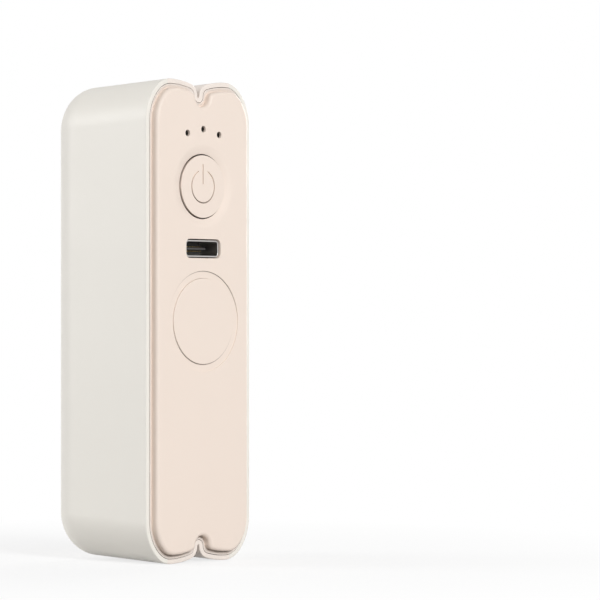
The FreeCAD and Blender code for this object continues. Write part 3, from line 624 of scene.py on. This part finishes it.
# Painted shade on the flange and the plateau's foot, strongest under the plateau's lower edges.
flange_painted_shade = (0.8, 0.8, 0.4)
foot_painted_shade = (0.25, 0.55, 0.6, 0.6, 0.55, 0.25, 0.1, 0.04)
flange_shares = low_shares(plateau[-1], foot[-1], least=0.5)
foot_shares = low_shares(plateau[-1], foot[-1], least=0.12)
paint_shade(work, flange[:3], flange_painted_shade, flange_shares)
paint_shade(work, flange[-1:] + foot + plateau[:3], foot_painted_shade, foot_shares)
front_rings = [plateau[-1]]
pocket_rings = [pocket_rim]

dish_radius, dish_depth, dish_soft, bore_edge = 7.7, 0.42, 0.3, 0.05
bore_radius, bore_land, bore_relief = 6.06, 0.8, 0.35
collar_depth, collar_radius = 2.7, 7.47
dish_slope = dish_depth / (dish_radius - bore_radius)
dish = bent((dish_radius + dish_soft, 0.0), (dish_radius, 0.0),
            (dish_radius - dish_soft, dish_soft * dish_slope), steps=8)
dish += bent((bore_radius + bore_edge, dish_depth - bore_edge * dish_slope),
             (bore_radius, dish_depth), (bore_radius, dish_depth + bore_edge), steps=3)
dish += [(bore_radius, bore_land), (bore_radius + bore_relief, bore_land),
         (bore_radius + bore_relief, collar_depth), (collar_radius, collar_depth),
         (collar_radius, panel_skin)]
rings = turned_rings(work, 0, button_z, dish, button_turns)
bridge(work, rings)
# Painted shade in the button's gap, strongest at its top and its foot.
gap_shares = [abs(math.sin(t)) for t in turn_angles(button_turns)]
bore_rings, bore_painted_shade = rings[-7:-2], (0.5, 1.0, 1.0, 1.0, 1.0)
paint_shade(work, bore_rings, bore_painted_shade, gap_shares)
front_rings.append(rings[0])
pocket_rings.append(rings[-1])

hole_radius, hole_edge, hole_painted_shade = 0.62, 0.04, 0.9
for x, z in light_places:
    hole = bent((hole_radius + hole_edge, 0.0), (hole_radius, 0.0), (hole_radius, hole_edge),
                steps=4)
    hole += [(hole_radius, panel_skin)]
    rings = turned_rings(work, x, z, hole, hole_turns)
    bridge(work, rings)
    # Painted shade at the top of the hole's deep end.
    paint_shade(work, rings[-1:], (hole_painted_shade,), half_shares(hole_turns, 1))
    front_rings.append(rings[0])
    pocket_rings.append(rings[-1])

port_width, port_height, port_corner = 8.94, 3.2, 0.8
port_gap, port_edge, sleeve_wall, sleeve_depth = 0.18, 0.06, 0.9, 2.7
sleeve = bent((port_gap + port_edge, 0.0), (port_gap, 0.0), (port_gap, port_edge), steps=4)
sleeve += [(port_gap, sleeve_depth), (port_gap + sleeve_wall, sleeve_depth),
           (port_gap + sleeve_wall, panel_skin)]
rings = port_rings(work, sleeve)
bridge(work, rings)
front_rings.append(rings[0])
pocket_rings.append(rings[-1])

ring_radius, ring_depth, ring_edge, ring_shade = 9.4, 0.16, 0.03, 0.2
disc_radius, disc_gap, disc_depth, cup_radius, cup_depth = 8.0, 0.05, 1.1, 7.46, 5.28
cup_step_radius, cup_step_depth, cup_back_radius, cup_back_depth = 9.25, 2.3, 8.66, 6.28
cup = bent((ring_radius + ring_edge, 0.0), (ring_radius, 0.0), (ring_radius, ring_edge), steps=3)
cup += [(ring_radius, ring_depth), (ring_radius - ring_shade, ring_depth),
        (disc_radius + disc_gap + ring_shade, ring_depth), (disc_radius + disc_gap, ring_depth),
        (disc_radius + disc_gap, disc_depth), (cup_radius, disc_depth), (cup_radius, cup_depth)]
rings = turned_rings(work, 0, magnet_z, cup, disc_turns)
bridge(work, rings)
# Painted shade in the ring groove: under its outer edge at the top and under the disc's edge at the
# foot.
groove_rings, groove_painted_shade = rings[3:5], (0.6, 0.95)
seat_rings, seat_painted_shade = rings[7:9], (0.95, 1.0)
paint_shade(work, groove_rings, groove_painted_shade, half_shares(disc_turns, 1))
paint_shade(work, seat_rings, seat_painted_shade, half_shares(disc_turns, -1))
work.faces.new(rings[-1])
front_rings.append(rings[0])
cup_back = [(cup_step_radius, panel_skin), (cup_step_radius, cup_step_depth),
            (cup_back_radius, cup_step_depth), (cup_back_radius, cup_back_depth)]
rings = turned_rings(work, 0, magnet_z, cup_back, disc_turns)
bridge(work, rings)
work.faces.new(rings[-1])
pocket_rings.append(rings[0])

boss_depth, boss_radius, pilot_radius, pilot_depth = 9.4, 1.9, 0.7, 4.0
boss_x, boss_heights = 8.71, (29.5, 64.32)
boss = [(boss_radius, panel_skin), (boss_radius, boss_depth), (pilot_radius, boss_depth),
        (pilot_radius, boss_depth - pilot_depth)]
for x in (-boss_x, boss_x):
    for z in boss_heights:
        rings = turned_rings(work, x, z, boss, boss_turns)
        bridge(work, rings)
        work.faces.new(rings[-1])
        pocket_rings.append(rings[0])
flat_fill(work, front_rings)
flat_fill(work, pocket_rings)
hook_inner_x, hook_outer_x, hook_barb_x = 10.88, 11.88, 12.28
hook_root_y, hook_barb_y, hook_tip_y = -12.225, -8.475, -7.475
snap_hook = ((hook_inner_x, hook_root_y), (hook_outer_x, hook_root_y), (hook_outer_x, hook_barb_y),
             (hook_barb_x, hook_barb_y), (hook_outer_x, hook_tip_y), (hook_inner_x, hook_tip_y))
for side in (1, -1):
    hook = [(side * x, y) for x, y in snap_hook]
    for z in snap_places:
        add_closed(work, upright_bar(hook, z, snap_width))
panel = finished(work, "front_panel_moulding", blush_shell, blush_band)
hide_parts("front_panel")
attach(panel, "case")

# Magnet cover: a thin blush disc, flush with the plateau, glued in over the magnet. Its edge makes
# the inner wall of the shallow ring groove that marks where the magnet sits.
work = bmesh.new()
work.verts.layers.float.new("painted_shade")
disc_profile = bent((disc_radius - ring_edge, 0.0), (disc_radius, 0.0), (disc_radius, ring_edge),
                    steps=3)
disc_profile += [(disc_radius, disc_depth)]
rings = turned_rings(work, 0, magnet_z, disc_profile, disc_turns)
bridge(work, rings)
# Painted shade on the disc's edge at its foot.
disc_wall, disc_painted_shade = rings[-2:], (0.5, 0.8)
paint_shade(work, disc_wall, disc_painted_shade, half_shares(disc_turns, -1))
flat_fill(work, [rings[0]])
work.faces.new(rings[-1])
disc = finished(work, "magnet_cover_disc", blush_shell)
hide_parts("magnet_cover")
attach(disc, "case")

# Power button: a round blush cap, hollow behind, with a retaining flange under the collar and a
# stem that presses the switch. The power symbol is cut into its flat face as a fine line.
button_radius, button_edge, button_sink = 5.84, 0.05, 0.12
button_land, button_relief = 0.6, 0.25
cap_flange_radius, cap_flange_front, cap_flange_back = 6.92, 2.73, 3.53
cap_hollow_radius, cap_hollow_depth, stem_radius, stem_end = 4.67, 1.25, 1.8, 4.77
symbol_radius, symbol_line, symbol_depth, symbol_painted_shade = 3.05, 0.25, 0.3, 0.75
symbol_gap, symbol_steps = math.radians(25), 80
bar_low, bar_high = 0.5, 4.05


def stroke_loop(points, width, end_steps=5):
    """Outline of a line of a given width with round ends, as (x, z) points."""
    sides = ([], [])
    count = len(points)
    for i, point in enumerate(points):
        along = (points[min(i + 1, count - 1)] - points[max(i - 1, 0)]).normalized()
        aside = Vector((-along.y, along.x)) * width / 2
        sides[0].append(point + aside)
        sides[1].append(point - aside)
    loop = []
    for end, row in ((count - 1, sides[0]), (0, sides[1][::-1])):
        loop += row
        first = row[-1] - points[end]
        for i in range(1, end_steps):
            turn = -math.pi * i / end_steps
            loop.append(points[end] + Matrix.Rotation(turn, 2) @ first)
    return loop


work = bmesh.new()
work.verts.layers.float.new("painted_shade")
ring_turns = [math.pi / 2 + symbol_gap + (2 * math.pi - 2 * symbol_gap) * i / symbol_steps
              for i in range(symbol_steps + 1)]
ring_line = [Vector((math.cos(t), math.sin(t))) * symbol_radius for t in ring_turns]
bar_line = [Vector((0, bar_low)), Vector((0, bar_high))]
cap = bent((button_radius - button_edge, button_sink), (button_radius, button_sink),
           (button_radius, button_sink + button_edge), steps=8)
neck_radius = button_radius - button_relief
cap += [(button_radius, button_land), (neck_radius, button_land), (neck_radius, cap_flange_front),
        (cap_flange_radius, cap_flange_front), (cap_flange_radius, cap_flange_back),
        (cap_hollow_radius, cap_flange_back), (cap_hollow_radius, cap_hollow_depth),
        (stem_radius, cap_hollow_depth), (stem_radius, stem_end)]
rings = turned_rings(work, 0, button_z, cap, button_turns)
bridge(work, rings)
# Painted shade on the cap's side in the gap, strongest at its top and its foot.
cap_wall, cap_painted_shade = rings[8:12], (0.5, 1.0, 1.0, 1.0)
paint_shade(work, cap_wall, cap_painted_shade, gap_shares)
work.faces.new(rings[-1])
face_rings = [rings[0]]
for line in (ring_line, bar_line):
    loop = stroke_loop(line, symbol_line)
    cut = [[work.verts.new((p.x, face_y + button_sink + depth, button_z + p.y)) for p in loop]
           for depth in (0.0, symbol_depth)]
    bridge(work, cut)
    reach = [math.hypot(p.x, p.y) for p in loop]
    # Painted shade on the cut's floor, strongest in the lower part of the symbol.
    foot_share = [max(0.0, -p.y / r) for p, r in zip(loop, reach)]
    paint_shade(work, cut[1:], (symbol_painted_shade,), foot_share)
    flat_fill(work, [cut[1]])
    face_rings.append(cut[0])
flat_fill(work, face_rings)
button = finished(work, "power_button_cap", blush_shell)
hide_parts("power_button")
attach(button, "button")

# Charging port shell: a drawn stainless steel tube with round corners, set a little below the face.
# Its mouth has a rolled bright lip, and four legs at the back are soldered through the board.
port_wall, port_sink, port_lip, board_depth = 0.3, 0.35, 0.1, 9.4
leg_width, leg_depth, leg_corner, leg_point, leg_taper = 0.9, 1.7, 0.05, 0.1, 0.06


def brushed_metal(name, colour, low, high, grain):
    """Bare metal with fine lines, stretched as the grain's scales say, and an uneven gloss."""
    material, nodes, link = new_material(name, colour)
    shader = nodes["Principled BSDF"]
    shader.inputs["Base Color"].default_value = (*colour, 1)
    shader.inputs["Metallic"].default_value = 1.0
    where = nodes.new("ShaderNodeTexCoord").outputs["Object"]
    stretch = nodes.new("ShaderNodeMapping")
    stretch.inputs["Scale"].default_value = grain
    link(where, stretch.inputs["Vector"])
    lines = nodes.new("ShaderNodeTexNoise")
    lines.inputs["Scale"].default_value = 1.0
    lines.inputs["Detail"].default_value = 3.0
    link(stretch.outputs[0], lines.inputs["Vector"])
    gloss = nodes.new("ShaderNodeMapRange")
    link(lines.outputs["Fac"], gloss.inputs["Value"])
    gloss.inputs["To Min"].default_value = low
    gloss.inputs["To Max"].default_value = high
    link(gloss.outputs["Result"], shader.inputs["Roughness"])
    bump = nodes.new("ShaderNodeBump")
    bump.inputs["Strength"].default_value = 0.2
    bump.inputs["Distance"].default_value = 0.002 * MM
    link(lines.outputs["Fac"], bump.inputs["Height"])
    link(bump.outputs["Normal"], shader.inputs["Normal"])
    return material


port_steel = brushed_metal("port_steel", (0.54, 0.525, 0.51), 0.26, 0.4, (4000, 400, 4000))
work = bmesh.new()
tube = [(0.0, board_depth)]
tube += bent((0.0, port_sink + port_lip), (0.0, port_sink), (-port_lip, port_sink), steps=5)
tube += bent((-port_wall + port_lip, port_sink), (-port_wall, port_sink),
             (-port_wall, port_sink + port_lip), steps=5)
tube += [(-port_wall, board_depth)]
rings = port_rings(work, tube)
bridge(work, rings + rings[:1])
leg = ((0.0, board_depth), (0.0, board_depth + leg_depth - leg_point),
       (leg_taper, board_depth + leg_depth))
leg_x = port_width / 2 - port_corner - leg_width / 2
leg_z = (port_height - port_wall) / 2
for x in (-leg_x, leg_x):
    for z in (port_z - leg_z, port_z + leg_z):
        close_form(work, [slot_ring(work, leg_width - 2 * trim, port_wall - 2 * trim, leg_corner,
                                    x, z, face_y + depth, corner_steps=2) for trim, depth in leg])
port = finished(work, "port_shell_tube", port_steel)
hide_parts("port_shell")
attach(port, "case")

# Port insulator: the black moulded block at the back of the port, with the thin tongue that carries
# the contacts. The tongue's nose is bevelled so that a plug finds its way in.
black_moulding = moulded_plastic("black_moulding", (0.06, 0.059, 0.058), 0.1, (0.3, 0.42), 7000.0)
block_gap, block_depth = 0.03, 5.2
tongue_width, tongue_thickness, tongue_sink = 6.7, 0.75, 2.55
tongue_corner, corner_loss = 0.25, 0.9
nose_start, nose_edge, nose_bevel, tip_bevel = 0.6, 0.08, 0.16, 0.24
work = bmesh.new()
block_inset = port_wall + block_gap
block = port_rings(work, [(-block_inset, board_depth), (-block_inset, block_depth)])
nose = ((0.0, block_depth), (0.0, tongue_sink + nose_start), (nose_bevel, tongue_sink + nose_edge),
        (tip_bevel, tongue_sink))
tongue = [slot_ring(work, tongue_width - 2 * trim, tongue_thickness - 2 * trim,
                    tongue_corner - corner_loss * trim, 0, port_z, face_y + depth)
          for trim, depth in nose]
bridge(work, block)
bridge(work, tongue)
work.faces.new(block[0])
flat_fill(work, [block[1], tongue[0]])
work.faces.new(tongue[-1])
insulator = finished(work, "port_insulator_tongue", black_moulding)
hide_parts("port_insulator")
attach(insulator, "case")

# Port contacts: sixteen gold-plated spring strips moulded into both faces of the tongue, eight a
# side, each with a bevelled nose.
contact_gold = brushed_metal("contact_gold", (0.83, 0.6, 0.25), 0.2, 0.35, (3000, 500, 3000))
contact_count, contact_pitch, contact_rows, contact_sink = 8, 0.72, 2, 0.65
contact_width, contact_thickness, contact_corner, contact_length = 0.3, 0.08, 0.01, 2.0
contact_nose, contact_bevel = 0.12, 0.04


def row_tree(name):
    """Node tree that repeats the mesh it gets along two directions."""
    tree = bpy.data.node_groups.new(name, "GeometryNodeTree")
    socket = tree.interface.new_socket
    socket("Geometry", in_out="INPUT", socket_type="NodeSocketGeometry")
    for label, kind in (("Count", "Int"), ("Pitch", "Float"), ("Rows", "Int"),
                        ("Row Pitch", "Float"), ("Centre", "Vector"), ("Finish", "Material")):
        socket(label, in_out="INPUT", socket_type="NodeSocket" + kind)
    socket("Geometry", in_out="OUTPUT", socket_type="NodeSocketGeometry")
    nodes, link, maths = tree.nodes, tree.links.new, node_maths(tree)
    given = nodes.new("NodeGroupInput").outputs
    result = nodes.new("NodeGroupOutput").inputs

    def length(pitch, count):
        return maths("MULTIPLY", maths("SUBTRACT", count, 1), pitch)

    grid = nodes.new("GeometryNodeMeshGrid")
    link(length(given["Pitch"], given["Count"]), grid.inputs["Size X"])
    link(length(given["Row Pitch"], given["Rows"]), grid.inputs["Size Y"])
    link(given["Count"], grid.inputs["Vertices X"])
    link(given["Rows"], grid.inputs["Vertices Y"])
    upright = nodes.new("GeometryNodeTransform")
    link(grid.outputs["Mesh"], upright.inputs["Geometry"])
    upright.inputs["Rotation"].default_value = (math.pi / 2, 0, 0)
    link(given["Centre"], upright.inputs["Translation"])
    spread = nodes.new("GeometryNodeInstanceOnPoints")
    link(upright.outputs[0], spread.inputs["Points"])
    link(given["Geometry"], spread.inputs["Instance"])
    real = nodes.new("GeometryNodeRealizeInstances")
    link(spread.outputs[0], real.inputs[0])
    finish = nodes.new("GeometryNodeSetMaterial")
    link(real.outputs[0], finish.inputs["Geometry"])
    link(given["Finish"], finish.inputs["Material"])
    link(finish.outputs[0], result["Geometry"])
    return tree


repeat_tree = row_tree("repeated_rows")


def repeated(name, work, count, pitch, rows, row_pitch, centre, material):
    """Piece that repeats a working mesh in millimetres over a grid across the depth."""
    piece = add_object(name, metre_mesh(work, name))
    spread = piece.modifiers.new("spread", "NODES")
    spread.node_group = repeat_tree
    for label, value in (("Count", count), ("Pitch", pitch * MM), ("Rows", rows),
                         ("Row Pitch", row_pitch * MM),
                         ("Centre", [value * MM for value in centre]), ("Finish", material)):
        set_input(spread, label, value)
    return softly_shaded(made_plain(piece))


work = bmesh.new()
strip = ((contact_bevel, 0.0), (0.0, contact_nose), (0.0, contact_length))
close_form(work, [slot_ring(work, contact_width - 2 * trim, contact_thickness - trim,
                            contact_corner, 0, -trim / 2, y, corner_steps=2) for trim, y in strip])
contacts = repeated("port_contact_strips", work, contact_count, contact_pitch, contact_rows,
                    tongue_thickness + contact_thickness,
                    (0, face_y + tongue_sink + contact_sink, port_z), contact_gold)
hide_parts("port_contacts")
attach(contacts, "case")

# Inner pieces that keep their moulded or stamped CAD shape: each node gets the finish of its real
# material, since the shell can be taken off in a reused part.
# A moulding's row is its slot, colour, drift, gloss range and grain size, then relief and shine.
mouldings = (
    ("tray_plastic", (0.1, 0.1, 0.11), 0.1, (0.5, 0.6), 6000.0),
    ("chip_epoxy", (0.025, 0.025, 0.027), 0.1, (0.35, 0.5), 8000.0),
    ("plunger_white", (0.8, 0.79, 0.76), 0.02, (0.25, 0.35), 9000.0),
    ("board_laminate", (0.03, 0.16, 0.08), 0.2, (0.25, 0.4), 3000.0),
    ("capacitor_ceramic", (0.45, 0.33, 0.22), 0.15, (0.4, 0.6), 8000.0),
    ("coil_ferrite", (0.1, 0.1, 0.1), 0.2, (0.55, 0.7), 9000.0),
    ("light_package", (0.88, 0.84, 0.62), 0.05, (0.15, 0.25), 8000.0),
    ("pad_foam", (0.06, 0.06, 0.06), 0.2, (0.85, 0.95), 2500.0, 0.06),
    ("film_amber", (0.55, 0.26, 0.05), 0.15, (0.2, 0.3), 1500.0),
    ("lead_jacket", (0.45, 0.03, 0.03), 0.1, (0.45, 0.6), 5000.0),
    ("sensor_resin", (0.05, 0.05, 0.06), 0.1, (0.15, 0.25), 4000.0),
    # The light guides are near black: partly a smoked tint, partly painted shade that keeps the
    # deep light holes dark.
    ("smoked_guide", (0.012, 0.01, 0.009), 0.05, (0.2, 0.3), 5000.0, 0.003, 0.1),
)
# A metal's row is its slot, colour, lowest and highest roughness, and the scales of its grain.
metals = (
    ("magnet_nickel", (0.62, 0.61, 0.58), 0.08, 0.2, (900, 900, 900)),
    ("yoke_steel", (0.5, 0.5, 0.5), 0.3, 0.45, (2500, 400, 400)),
    ("screw_steel", (0.42, 0.42, 0.43), 0.25, 0.4, (2500, 2500, 2500)),
    ("cell_foil", (0.7, 0.71, 0.72), 0.3, 0.45, (300, 300, 300)),
    ("plate_aluminium", (0.75, 0.76, 0.77), 0.28, 0.42, (1500, 1500, 120)),
)
finishes = {"black_moulding": black_moulding}
finishes.update((row[0], moulded_plastic(*row)) for row in mouldings)
finishes.update((row[0], brushed_metal(*row)) for row in metals)
replaced = {"left_cover", "right_cover", "centre_band", "front_panel", "magnet_cover",
            "power_button", "port_shell", "port_insulator", "port_contacts"}
for subpart in frame["record"]["subparts"]:
    node = subpart["node"]
    if node in replaced:
        continue
    mesh = frame["nodes"][node].data
    mesh.materials.clear()
    mesh.materials.append(finishes[subpart["material_slot"]])

# Stage: a plain white floor that runs on behind as the background, with a soft shadow near the
# object. Light comes from a wide bright ceiling and three large soft lamps: a key lamp in front and
# above, one behind the left side and a fill lamp at the right.
floor_reach = 6.0
floor_seen, floor_bounce = 1.0, 0.66
shadow_start, shadow_end, shadow_share = 0.03, 0.12, 0.25
sky_level, sky_low, sky_high = 0.28, -0.05, 0.1


def seen_rays(tree):
    """One for what the camera, mirrors and glass see, zero for light on its way to a surface."""
    path = tree.nodes.new("ShaderNodeLightPath").outputs
    total = path["Is Camera Ray"]
    for name in ("Is Glossy Ray", "Is Transmission Ray"):
        total = node_maths(tree)("MAXIMUM", total, path[name])
    return total


def mapped(tree, value, from_range, to_range):
    """A value carried from one range to another, and held at its ends."""
    node = tree.nodes.new("ShaderNodeMapRange")
    tree.links.new(value, node.inputs["Value"])
    for name, setting in zip(("From Min", "From Max", "To Min", "To Max"), from_range + to_range):
        node.inputs[name].default_value = setting
    return node.outputs["Result"]


floor_mesh = bpy.data.meshes.new("floor")
corners = [(x * floor_reach, y * floor_reach, 0) for x, y in ((-1, -1), (1, -1), (1, 1), (-1, 1))]
floor_mesh.from_pydata(corners, [], [(0, 1, 2, 3)])
floor = add_object("floor", floor_mesh)
paper = bpy.data.materials.new("floor_paper")
paper.use_nodes = True
tree = paper.node_tree
nodes, link = tree.nodes, tree.links.new
surface = nodes["Principled BSDF"]
surface.inputs["Roughness"].default_value = 0.9
surface.inputs["Specular IOR Level"].default_value = 0.0
seen = seen_rays(tree)
link(mapped(tree, seen, (0.0, 1.0), (floor_bounce, floor_seen)), surface.inputs["Base Color"])
glow = nodes.new("ShaderNodeEmission")
distance = nodes.new("ShaderNodeVectorMath")
distance.operation = "LENGTH"
link(nodes.new("ShaderNodeTexCoord").outputs["Object"], distance.inputs[0])
white_share = mapped(tree, distance.outputs["Value"], (shadow_start, shadow_end),
                     (1 - shadow_share, 1.0))
blend = nodes.new("ShaderNodeMixShader")
link(node_maths(tree)("MULTIPLY", seen, white_share), blend.inputs["Fac"])
link(surface.outputs[0], blend.inputs[1])
link(glow.outputs[0], blend.inputs[2])
link(blend.outputs[0], nodes["Material Output"].inputs["Surface"])
floor_mesh.materials.append(paper)

scene = bpy.context.scene
scene.view_settings.view_transform = "Standard"
world = bpy.data.worlds.new("studio")
scene.world = world
world.use_nodes = True
tree = world.node_tree
nodes, link = tree.nodes, tree.links.new
ceiling = nodes["Background"]
ceiling.inputs["Color"].default_value = (1, 1, 1, 1)
height = nodes.new("ShaderNodeSeparateXYZ")
link(nodes.new("ShaderNodeTexCoord").outputs["Generated"], height.inputs[0])
link(mapped(tree, height.outputs["Z"], (sky_low, sky_high), (0.0, sky_level)),
     ceiling.inputs["Strength"])
white = nodes.new("ShaderNodeBackground")
white.inputs["Color"].default_value = (1, 1, 1, 1)
blend = nodes.new("ShaderNodeMixShader")
link(seen_rays(tree), blend.inputs["Fac"])
link(ceiling.outputs[0], blend.inputs[1])
link(white.outputs[0], blend.inputs[2])
link(blend.outputs[0], nodes["World Output"].inputs["Surface"])


def soft_lamp(name, place, target, size, power):
    """Round lamp that faces its target."""
    lamp = bpy.data.lights.new(name, "AREA")
    lamp.shape = "DISK"
    lamp.size = size
    lamp.energy = power
    holder = bpy.data.objects.new(name, lamp)
    holder.location = place
    holder.rotation_euler = (Vector(target) - Vector(place)).to_track_quat("-Z", "Y").to_euler()
    scene.collection.objects.link(holder)


centre = (0, 0, middle_z * MM)
soft_lamp("key", (-0.5, -1.95, 0.85), centre, size=0.7, power=33.0)
soft_lamp("side", (-1.32, 1.68, 0.55), centre, size=0.9, power=25.6)
soft_lamp("fill", (1.75, 0.6, 0.35), centre, size=0.9, power=21.0)

# Camera: level with the middle of the body, at the photograph's angle and distance. Its lens gives
# the photograph's scale at the rim, and its shift puts the body's axis where the picture has it.
view_turn = math.radians(46.35)
view_distance, picture = 590.0, 600.0
pixels_per_mm, axis_px = 5.35, (198.74, 321.25)
camera = bpy.data.cameras.new("camera")
camera.sensor_width = 36.0
camera.lens = camera.sensor_width * pixels_per_mm * view_distance / picture
camera.shift_x = (picture / 2 - axis_px[0]) / picture
camera.shift_y = (axis_px[1] - picture / 2) / picture
camera.clip_start = 0.01
eye = bpy.data.objects.new("camera", camera)
eye.location = (-view_distance * math.sin(view_turn) * MM,
                (rim_y - view_distance * math.cos(view_turn)) * MM, middle_z * MM)
eye.rotation_euler = (math.pi / 2, 0, -view_turn)
scene.collection.objects.link(eye)
scene.camera = eye
